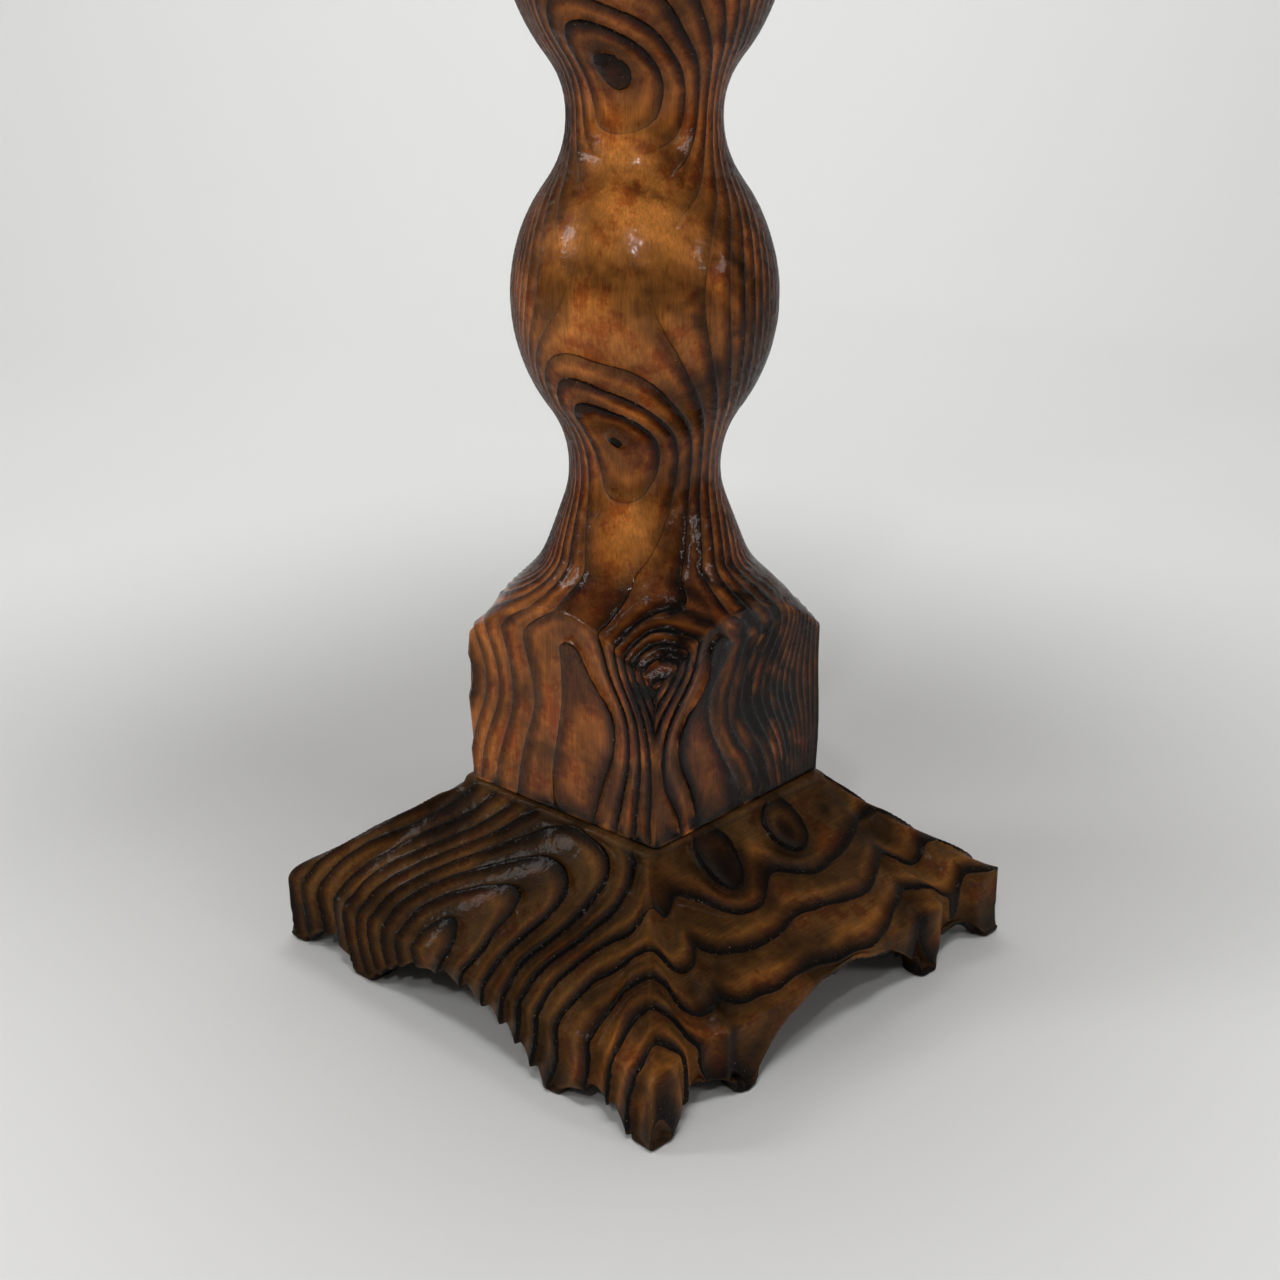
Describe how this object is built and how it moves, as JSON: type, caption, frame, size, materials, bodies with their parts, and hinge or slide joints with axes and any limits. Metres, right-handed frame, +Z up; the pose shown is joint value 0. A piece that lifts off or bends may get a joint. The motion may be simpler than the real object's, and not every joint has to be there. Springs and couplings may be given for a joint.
{
  "type": "tilt-top pedestal table",
  "caption": "Square tilting table top on a turned cedar post with swelling bulges, standing on a carved hipped square foot with scalloped edges; dark scorched, wire-brushed wood.",
  "frame": {"origin": "on the floor under the middle of the table, at the bottom centre of its box", "axes": "+Z up the post; the hinge is on the +Y side and its pins lie along X; the catch is on the -Y side; the top's boards run along X"},
  "size_m": [0.455, 0.455, 0.7053],
  "materials": {
    "scorched_cedar": "scorched, wire-brushed and waxed; satin ridges over dark furrows",
    "plain_hardwood": "bare close-grained hardwood",
    "aged_brass": "hand-rubbed, dulled by age",
    "zinc_steel": "zinc-plated"
  },
  "bodies": {
    "base": {"foot_plate": "scorched_cedar", "foot_bolt": "zinc_steel", "foot_washer": "zinc_steel", "pillar": "scorched_cedar", "tenon_wedges": "plain_hardwood", "tilt_block": "scorched_cedar", "keeper_plate": "aged_brass", "keeper_screws": "aged_brass"},
    "top": {"top_board_front": "scorched_cedar", "top_board_middle": "scorched_cedar", "top_board_rear": "scorched_cedar", "board_dowels": "plain_hardwood", "bearer_left": "scorched_cedar", "bearer_right": "scorched_cedar", "bearer_screws": "zinc_steel", "pivot_pin_left": "aged_brass", "pivot_pin_right": "aged_brass", "pivot_washers": "aged_brass", "catch_plate": "aged_brass", "catch_guides": "aged_brass", "catch_screws": "aged_brass"},
    "catch": {"catch_bolt": "aged_brass", "catch_knob": "aged_brass"}
  },
  "joints": [
    {"name": "top_tilt", "type": "hinge", "parent": "base", "child": "top", "pos_m": [0, 0.061, 0.666], "axis": [-1, 0, 0], "range_deg": [0, 90]},
    {"name": "catch_slide", "type": "slide", "parent": "top", "child": "catch", "axis": [0, 1, 0], "range_m": [0, 0.012]}
  ]
}
